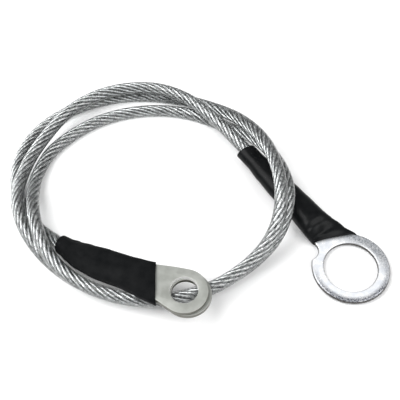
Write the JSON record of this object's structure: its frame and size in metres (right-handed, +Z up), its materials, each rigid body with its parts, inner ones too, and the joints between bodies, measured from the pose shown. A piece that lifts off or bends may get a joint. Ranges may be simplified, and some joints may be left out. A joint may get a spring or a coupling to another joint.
{
  "type": "coiled wire rope lanyard with eye ends",
  "caption": "Loosely coiled clear-coated steel wire rope with a small raised pressed eye and a large flat pressed eye, each crimp under a black shrunk sleeve.",
  "frame": {"origin": "middle of the whole object's outline, on the surface it lies on", "axes": "+Z up, square to the coil's plane; X runs along the longer way across, with the large eye at +X; Y runs from the small eye at -Y to the far side of the coil"},
  "size_m": [0.1864, 0.1391, 0.0275],
  "materials": {
    "wire": "galvanised strands",
    "clear_coat": "clear, glossy",
    "small_eye": "satin zinc plate",
    "large_eye": "bright zinc plate",
    "sleeve": "shrunk polyolefin, semi-matt black"
  },
  "bodies": {
    "root": {"wire_rope": "wire", "rope_jacket": "clear_coat", "small_eye_terminal": "small_eye", "large_eye_terminal": "large_eye", "small_eye_sleeve": "sleeve", "large_eye_sleeve": "sleeve"}
  },
  "joints": []
}
